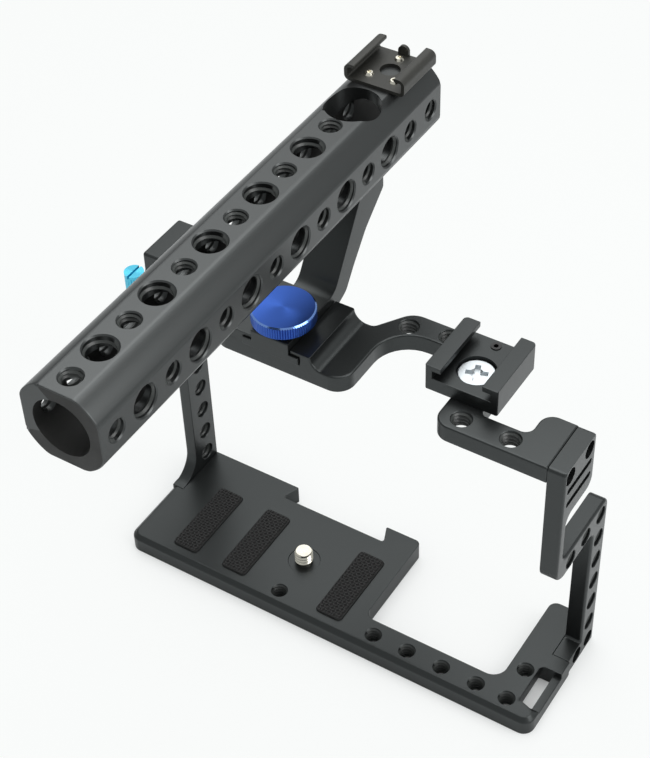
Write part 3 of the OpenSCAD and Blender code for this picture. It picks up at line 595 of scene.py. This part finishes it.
class CAGE_OT_pads(bpy.types.Operator):
    """Rubber pads with crossed diagonal ribs inside a plain rim"""

    bl_idname = "cage.pads"
    bl_label = "Rubber pads"

    def execute(self, context):
        cut = settings().pads
        bm = merged("base_pads")
        top = PAD_BOX[1].z - NEAR
        tops = [face for face in bm.faces if face.normal.z > 0.9 and face.calc_center_median().z > top]
        beds = [self.bed(face) for face in tops]
        bmesh.ops.inset_individual(bm, faces=tops, thickness=cut.rim, depth=0, use_even_offset=True)
        bmesh.ops.translate(bm, verts=list({vert for face in tops for vert in face.verts}), vec=-Z * cut.depth)
        # The sunk pit bottoms get the second material, a painted shade
        for face in tops:
            face.material_index = 1

        def on_rim(place, normals):
            upwards = min(normal.z for normal in normals) > -UPRIGHT
            return place.z > top and upwards and self.outside(place, beds)

        round_off(bm, convex(bm, on_rim), cut.edge, 2)
        for low, high in beds:
            self.ribs(bm, low, high)
        pads = add_piece(bm, "ribbed_pads", finish_of("pad_rubber"), CAGE, ["base_pads"])
        pads.data.materials.append(finish_of("pad_pit_painted_shade"))
        return {"FINISHED"}

    def bed(self, face):
        """Low and high corner of the bed that the ribs cross."""
        corners = [vert.co for vert in face.verts]
        inset = (X + Y) * settings().pads.rim
        return (Vector([min(co[i] for co in corners) for i in range(3)]) + inset,
                Vector([max(co[i] for co in corners) for i in range(3)]) - inset)

    def outside(self, place, beds):
        return not any(low.x - NEAR < place.x < high.x + NEAR and low.y - NEAR < place.y < high.y + NEAR
                       for low, high in beds)

    def ribs(self, bm, low, high):
        """Ribs at both slants over the bed, each as long as the bed is there."""
        cut = settings().pads
        centre, half = (low + high) / 2, (high - low) / 2
        reach = half.x + half.y
        step = cut.pitch * math.sqrt(2)
        count = math.floor(reach / step)
        for slant in (-1, 1):
            for i in range(-count, count + 1):
                shift = i * step
                start, end = max(-half.y, -slant * shift - half.x), min(half.y, -slant * shift + half.x)
                if end - start > cut.rim:
                    ends = [centre + Vector((slant * y + shift, y, 0)) for y in (start, end)]
                    self.rib(bm, *ends)

    def rib(self, bm, start, end):
        """One bar from start to end, with its crest at their height and a wider foot."""
        cut = settings().pads
        along = end - start
        turn = Matrix.Rotation(math.atan2(along.y, along.x), 4, "Z")
        across = turn.col[1].xyz
        width = cut.pitch * cut.rib_share
        place = Matrix.Translation((start + end) / 2 - Z * cut.depth / 2)
        size = Matrix.Diagonal((along.length + width, width, cut.depth, 1))
        bar = bmesh.ops.create_cube(bm, size=1, matrix=place @ turn @ size)
        for vert in bar["verts"]:
            if vert.co.z < start.z - cut.depth / 2:
                vert.co += (vert.co - start).project(across) * cut.rib_flare


class CAGE_OT_camera_screw(bpy.types.Operator):
    """Captive camera screw with its thread"""

    bl_idname = "cage.camera_screw"
    bl_label = "Camera screw"

    def execute(self, context):
        depth = settings().threads.depth
        place = middle(SCREW_BOX)
        floor_z, top_z = BASE_BOX[1].z, SCREW_BOX[1].z
        (_, radius), = holes_of("camera_screw_thread", X)
        bm = merged("camera_screw")
        for vert in bm.verts:
            away = Vector((vert.co.x - place.x, vert.co.y - place.y))
            if vert.co.z > floor_z and away.length > radius - depth:
                away = away.normalized() * (radius - depth)
                vert.co.x, vert.co.y = place.x + away.x, place.y + away.y
        thread(bm, place, Z, floor_z - 0.6 * MM, top_z + 0.35 * MM, radius, depth, inwards=False)
        add_piece(bm, "threaded_camera_screw", finish_of("nickel"), "camera_screw", ["camera_screw"])
        dress("screw_retainer", "anodised_black")
        return {"FINISHED"}


class CAGE_OT_side_plates(bpy.types.Operator):
    """Left and right side plates with rounded outer edges"""

    bl_idname = "cage.side_plates"
    bl_label = "Side plates"

    def execute(self, context):
        for node, box, side in (("left_side_plate", LEFT_BOX, -X), ("right_side_plate", RIGHT_BOX, X)):
            outer_x = box[0].x if side.x < 0 else box[1].x
            foot_z, top_z = BASE_BOX[1].z + NEAR, TOP_BOX[0].z + TOP_PLATE_T
            bm = merged(node)

            def outer(place, normals):
                by_screws = place.z < foot_z or abs(place.z - top_z) < NEAR
                return rim(normals, side) and abs(place.x - outer_x) < NEAR and not by_screws

            round_off(bm, long_runs(convex(bm, outer)), settings().edges.side, 4)
            break_edges(bm)
            add_milled(bm, "milled_" + node, "anodised_black", CAGE, [node])
        return {"FINISHED"}


class CAGE_OT_top_plate(bpy.types.Operator):
    """Top plate with its channel and rounded arms"""

    bl_idname = "cage.top_plate"
    bl_label = "Top plate"

    def execute(self, context):
        bm = merged("top_plate")
        handle_x = middle(TUBE_BOX).x
        plate_z = TOP_BOX[0].z + TOP_PLATE_T

        def upper(place, normals):
            on_block = abs(place.x - handle_x) < RIDGE
            return rim(normals, Z) and place.z > plate_z - NEAR and not on_block

        round_off(bm, long_runs(convex(bm, upper)), settings().edges.top, 4)
        break_edges(bm)
        add_milled(bm, "milled_top_plate", "anodised_black", CAGE, ["top_plate"])
        return {"FINISHED"}


class CAGE_OT_cage_shoe(bpy.types.Operator):
    """Shoe block and its screws"""

    bl_idname = "cage.cage_shoe"
    bl_label = "Cage shoe"

    def execute(self, context):
        bm = merged("cage_shoe")
        break_edges(bm, 40 * MM)
        add_milled(bm, "milled_cage_shoe", "anodised_black", CAGE, ["cage_shoe"])
        dress("shoe_screw", "zinc")
        dress("shoe_set_screw", "black_oxide")
        return {"FINISHED"}


class CAGE_OT_handle(bpy.types.Operator):
    """Drilled handle tube and its riser"""

    bl_idname = "cage.handle"
    bl_label = "Handle"

    def execute(self, context):
        edges = settings().edges
        low, high = TUBE_BOX
        centre = middle(TUBE_BOX)
        flat_half = (high.x - low.x) / 2
        bm = merged("handle_tube")

        def end_rim(place, normals):
            at_end = place.y < low.y + NEAR or place.y > high.y - NEAR
            return at_end and math.hypot(place.x - centre.x, place.z - centre.z) > flat_half - NEAR

        flats = [edge for edge in bm.edges
                 if len(edge.link_faces) == 2 and abs(edge.verts[0].co.y - edge.verts[1].co.y) > flat_half
                 and edge.calc_face_angle() > SHARP / 2]
        round_off(bm, flats, edges.flats, 4)
        round_off(bm, convex(bm, end_rim), edges.tube, 2)
        # Faces inside the bore get the second material, a painted shade
        inside = bore_radius() + NEAR
        for face in bm.faces:
            place = face.calc_center_median()
            face.material_index = int(math.hypot(place.x - centre.x, place.z - centre.z) < inside)
        tube = add_milled(bm, "drilled_handle_tube", "anodised_handle", HANDLE, ["handle_tube"])
        tube.data.materials.append(finish_of("bore_painted_shade"))
        bm = merged("handle_riser")
        break_edges(bm)
        add_milled(bm, "milled_handle_riser", "anodised_black", HANDLE, ["handle_riser"])
        dress("riser_screws", "black_oxide")
        return {"FINISHED"}


class CAGE_OT_handle_shoe(bpy.types.Operator):
    """Bent sheet shoe on the handle"""

    bl_idname = "cage.handle_shoe"
    bl_label = "Handle shoe"

    def execute(self, context):
        dress("handle_shoe", "black_sheet")
        dress("handle_shoe_screws", "nickel")
        return {"FINISHED"}


class CAGE_OT_clamp(bpy.types.Operator):
    """Blue knurled knob with its stud and washer"""

    bl_idname = "cage.clamp"
    bl_label = "Clamp"

    def execute(self, context):
        bm = merged("clamp_knob")
        # Upward-slanting faces, the top chamfer, get the lighter blue: a polished chamfer with a painted highlight
        for face in bm.faces:
            face.material_index = int(UPRIGHT * 2 < face.normal.z < LEVEL)
        knob = add_piece(bm, "turned_clamp_knob", finish_of("turned_blue"), "clamp_knob", ["clamp_knob"])
        knob.data.materials.append(finish_of("polished_blue_and_painted_highlight"))
        dress("clamp_stud", "nickel")
        dress("clamp_washer", "nickel")
        return {"FINISHED"}


class CAGE_OT_cable_lock(bpy.types.Operator):
    """Cable lock with its jaw and thumbscrew"""

    bl_idname = "cage.cable_lock"
    bl_label = "Cable lock"

    def execute(self, context):
        for node, body in (("cable_lock", CAGE), ("cable_jaw", "cable_jaw")):
            bm = merged(node)
            break_edges(bm, 30 * MM)
            add_milled(bm, "milled_" + node, "anodised_black", body, [node])
        dress("cable_thumbscrew", "turned_cyan")
        dress("cable_lock_screws", "black_oxide")
        return {"FINISHED"}


class CAGE_OT_plate_screws(bpy.types.Operator):
    """Socket screws of the side plates"""

    bl_idname = "cage.plate_screws"
    bl_label = "Plate screws"

    def execute(self, context):
        for node in ("left_base_screws", "right_base_screws", "left_top_screws", "right_top_screws"):
            dress(node, "black_oxide")
        return {"FINISHED"}


class CAGE_OT_threads(bpy.types.Operator):
    """Threads in the tapped holes"""

    bl_idname = "cage.threads"
    bl_label = "Threads"

    def execute(self, context):
        cut = settings().threads
        base, left, right = [(box[0], box[1]) for box in (BASE_BOX, LEFT_BOX, RIGHT_BOX)]
        top = (TOP_BOX[0], TOP_BOX[0] + Z * TOP_PLATE_T)
        left_inner = (left[0], left[0] + X * LEFT_PLATE_T)
        rows = {
            "base_threads": [(base, Z, cut.fine_depth, {"rail_holes": X, "corner_holes": Y, "base_hole": X})],
            "left_plate_threads": [(left_inner, X, cut.depth, {"left_plate_holes": Z})],
            "right_plate_threads": [(right, X, cut.depth, {"right_upright_holes": Z, "right_arm_holes": Y})],
            "top_plate_threads": [(top, Z, cut.depth,
                                   {"rear_arm_holes": X, "front_arm_hole": X, "left_arm_holes": X})],
        }
        for piece, sets in rows.items():
            bm = bmesh.new()
            for (low, high), axis, depth, steps in sets:
                for row, step in steps.items():
                    for centre, radius in holes_of(row, step):
                        thread(bm, centre, axis, low.dot(axis) + NEAR, high.dot(axis) - NEAR, radius, depth)
            add_piece(bm, piece, finish_of("thread_black_and_painted_shade"), CAGE)
        self.tube_threads()
        return {"FINISHED"}

    def tube_threads(self):
        """Threads in both side walls and the upper wall of the handle tube."""
        cut = settings().threads
        centre = middle(TUBE_BOX)
        ends = (bore_radius(), (TUBE_BOX[1].x - TUBE_BOX[0].x) / 2 - 0.3 * MM)
        bm = bmesh.new()
        for row, axis, sides in (("handle_side_large_holes", X, (-1, 1)), ("handle_side_small_holes", X, (-1, 1)),
                                 ("handle_side_end_hole", X, (-1, 1)), ("handle_top_small_holes", Z, (1,)),
                                 ("handle_top_large_holes", Z, (1,))):
            pitch = cut.big_pitch if "large" in row else cut.pitch
            for hole, radius in holes_of(row, Y):
                for side in sides:
                    low, high = sorted(centre.dot(axis) + side * reach for reach in ends)
                    thread(bm, hole, axis, low, high, radius, cut.depth, pitch=pitch)
        # The handle's threads take the plates' darker black, a painted shade in its holes
        add_piece(bm, "handle_threads", finish_of("thread_black_and_painted_shade"), HANDLE)


# ---- stage ----

class CAGE_OT_stage(bpy.types.Operator):
    """Camera, floor and soft lamps"""

    bl_idname = "cage.stage"
    bl_label = "Stage"

    def execute(self, context):
        context.scene.view_settings.view_transform = "Standard"
        self.camera(context)
        self.floor()
        self.lamps()
        self.room(context)
        return {"FINISHED"}

    def camera(self, context):
        stage = settings().stage
        data = bpy.data.cameras.new("camera")
        data.sensor_fit = "VERTICAL"
        data.sensor_height = data.sensor_width = 36
        data.lens = stage.lens
        data.clip_start, data.clip_end = 0.01, 50
        camera = bpy.data.objects.new("camera", data)
        camera.location = stage.camera_place
        camera.rotation_euler = stage.camera_turn
        context.scene.collection.objects.link(camera)
        context.scene.camera = camera

    def floor(self):
        stage = settings().stage
        bm = bmesh.new()
        bmesh.ops.create_grid(bm, x_segments=1, y_segments=1, size=stage.floor_size / 2)
        bmesh.ops.translate(bm, verts=bm.verts, vec=Z * (CAD_BOX[0].z - 0.02 * MM))
        mesh = bpy.data.meshes.new("floor")
        bm.to_mesh(mesh)
        bm.free()
        material, shader = new_material("floor", settings().colours.floor, 0.7)
        shader.inputs["Specular IOR Level"].default_value = 0.2
        seen = add_node(material, "ShaderNodeEmission", Color=(*stage.floor_seen, 1), Strength=1.0)
        path = add_node(material, "ShaderNodeLightPath")
        open_floor = add_node(material, "ShaderNodeAmbientOcclusion", samples=16)
        open_floor.inputs["Distance"].default_value = stage.contact
        level = add_node(material, "ShaderNodeMath", operation="MULTIPLY")
        level.inputs[1].default_value = stage.floor_share
        share = add_node(material, "ShaderNodeMath", operation="MULTIPLY")
        mix = add_node(material, "ShaderNodeMixShader")
        link(material, open_floor.outputs["AO"], level.inputs[0])
        link(material, path.outputs["Is Camera Ray"], share.inputs[0])
        link(material, level.outputs["Value"], share.inputs[1])
        link(material, share.outputs["Value"], mix.inputs["Fac"])
        link(material, shader.outputs["BSDF"], mix.inputs[1])
        link(material, seen.outputs["Emission"], mix.inputs[2])
        link(material, mix.outputs["Shader"], material.node_tree.nodes["Material Output"].inputs["Surface"])
        mesh.materials.append(material)
        floor = bpy.data.objects.new("floor", mesh)
        bpy.context.scene.collection.objects.link(floor)

    def lamp(self, name, place, aim, size, power):
        data = bpy.data.lights.new(name, "AREA")
        data.shape = "SQUARE"
        data.size = size
        data.energy = power
        lamp = bpy.data.objects.new(name, data)
        lamp.location = place
        lamp.rotation_euler = (Vector(aim) - Vector(place)).to_track_quat("-Z", "Y").to_euler()
        bpy.context.scene.collection.objects.link(lamp)

    def lamps(self):
        stage = settings().stage
        self.lamp("overhead_lamp", (-0.05, 0.10, 0.62), (0, 0, 0.05), 0.5, stage.overhead)
        self.lamp("back_lamp", (-0.50, 0.80, 0.95), (0, 0, 0.05), 0.8, stage.back)
        self.lamp("side_lamp", (0.80, 0.10, 0.65), (0, 0, 0.05), 0.6, stage.right)

    def room(self, context):
        stage = settings().stage
        world = bpy.data.worlds.new("room")
        world.use_nodes = True
        nodes, links = world.node_tree.nodes, world.node_tree.links
        light = nodes["Background"]
        light.inputs["Color"].default_value = (0.97, 1.0, 1.0, 1)
        light.inputs["Strength"].default_value = stage.sky
        seen = nodes.new("ShaderNodeBackground")
        seen.inputs["Color"].default_value = (0.97, 0.98, 0.98, 1)
        path = nodes.new("ShaderNodeLightPath")
        mix = nodes.new("ShaderNodeMixShader")
        links.new(path.outputs["Is Camera Ray"], mix.inputs["Fac"])
        links.new(light.outputs["Background"], mix.inputs[1])
        links.new(seen.outputs["Background"], mix.inputs[2])
        links.new(mix.outputs["Shader"], nodes["World Output"].inputs["Surface"])
        context.scene.world = world


BUILD = [CAGE_OT_base_plate, CAGE_OT_pads, CAGE_OT_camera_screw, CAGE_OT_side_plates, CAGE_OT_top_plate,
         CAGE_OT_cage_shoe, CAGE_OT_handle, CAGE_OT_handle_shoe, CAGE_OT_clamp, CAGE_OT_cable_lock,
         CAGE_OT_plate_screws, CAGE_OT_threads, CAGE_OT_stage]


class CAGE_PT_panel(bpy.types.Panel):
    """Lists the pieces of the cage"""

    bl_idname = "CAGE_PT_panel"
    bl_label = "Camera cage"
    bl_space_type = "VIEW_3D"
    bl_region_type = "UI"
    bl_category = "Cage"

    def draw(self, context):
        column = self.layout.column()
        for operator in BUILD:
            column.operator(operator.bl_idname)
        for group in ("edges", "threads", "pads", "colours", "stage"):
            values = getattr(context.scene.cage, group)
            box = self.layout.box()
            for name in values.__annotations__:
                box.prop(values, name)


CLASSES = [CageEdges, CageThreads, CagePads, CageColours, CageStage, CageSettings, *BUILD, CAGE_PT_panel]


def register():
    for item in CLASSES:
        bpy.utils.register_class(item)
    bpy.types.Scene.cage = PointerProperty(type=CageSettings)


def unregister():
    del bpy.types.Scene.cage
    for item in reversed(CLASSES):
        bpy.utils.unregister_class(item)


def main():
    register()
    for operator in BUILD:
        group, name = operator.bl_idname.split(".")
        getattr(getattr(bpy.ops, group), name)()


if __name__ == "__main__":
    main()
